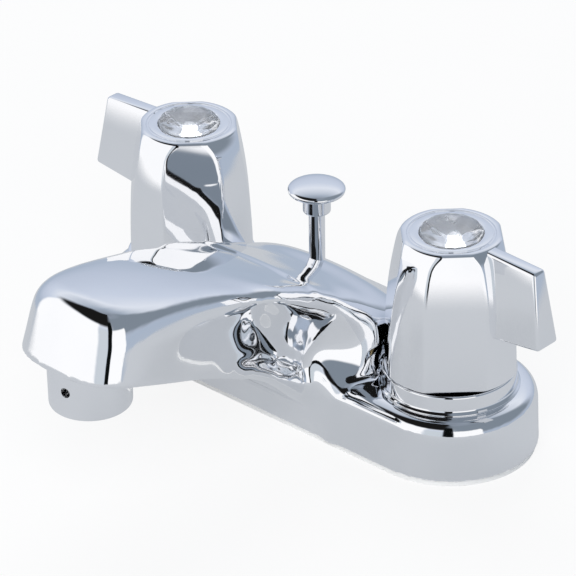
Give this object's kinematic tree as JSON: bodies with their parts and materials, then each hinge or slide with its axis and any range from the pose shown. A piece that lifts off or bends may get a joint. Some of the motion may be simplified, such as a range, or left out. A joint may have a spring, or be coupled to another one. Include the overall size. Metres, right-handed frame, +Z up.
{
  "type": "centerset bathroom faucet",
  "caption": "Deck-mounted chrome basin faucet with a low forward spout, winged turning handles with clear buttons and a pull-up drain rod.",
  "frame": {"origin": "midway between the two shanks, in the plane of the deck that the base gasket sits on", "axes": "+X towards the right handle, -Y forwards along the spout, +Z up"},
  "size_m": [0.1726, 0.1345, 0.134],
  "materials": {
    "chrome_casting": "polished",
    "chrome_handle": "polished",
    "chrome_collar": "polished",
    "chrome_rod": "polished",
    "chrome_aerator": "polished",
    "steel_thread": "satin",
    "steel_nut": "satin",
    "brass": "machined",
    "white_ceramic": "smooth",
    "white_plastic": "moulded",
    "black_rubber": "matte",
    "silver_foil": "satin",
    "clear_acrylic": "clear"
  },
  "bodies": {
    "faucet_body": {"body_casting": "chrome_casting", "base_gasket": "white_plastic", "aerator_housing": "chrome_aerator", "aerator_screen": "white_plastic", "aerator_washer": "black_rubber", "left_shank": "steel_thread", "left_locknut": "steel_nut", "left_washer": "steel_nut", "left_seat_seal": "black_rubber", "left_fixed_disc": "white_ceramic", "left_valve_body": "brass", "left_body_ring": "black_rubber", "left_collar": "chrome_collar", "right_shank": "steel_thread", "right_locknut": "steel_nut", "right_washer": "steel_nut", "right_seat_seal": "black_rubber", "right_fixed_disc": "white_ceramic", "right_valve_body": "brass", "right_body_ring": "black_rubber", "right_collar": "chrome_collar"},
    "left_handle_body": {"left_handle": "chrome_handle", "left_stem": "brass", "left_moving_disc": "white_ceramic", "left_stem_ring": "black_rubber", "left_handle_screw": "steel_nut", "left_index_insert": "silver_foil", "left_index_button": "clear_acrylic"},
    "right_handle_body": {"right_handle": "chrome_handle", "right_stem": "brass", "right_moving_disc": "white_ceramic", "right_stem_ring": "black_rubber", "right_handle_screw": "steel_nut", "right_index_insert": "silver_foil", "right_index_button": "clear_acrylic"},
    "lift_rod_body": {"lift_rod": "chrome_rod", "lift_rod_knob": "chrome_rod"}
  },
  "joints": [
    {"name": "left_handle_turn", "type": "hinge", "parent": "faucet_body", "child": "left_handle_body", "pos_m": [-0.0508, 0, 0.0268], "axis": [0, 0, 1], "range_deg": [0, 90]},
    {"name": "right_handle_turn", "type": "hinge", "parent": "faucet_body", "child": "right_handle_body", "pos_m": [0.0508, 0, 0.0268], "axis": [0, 0, 1], "range_deg": [-90, 0]},
    {"name": "lift_rod_slide", "type": "slide", "parent": "faucet_body", "child": "lift_rod_body", "axis": [0, 0, 1], "range_m": [-0.012, 0.015]}
  ]
}
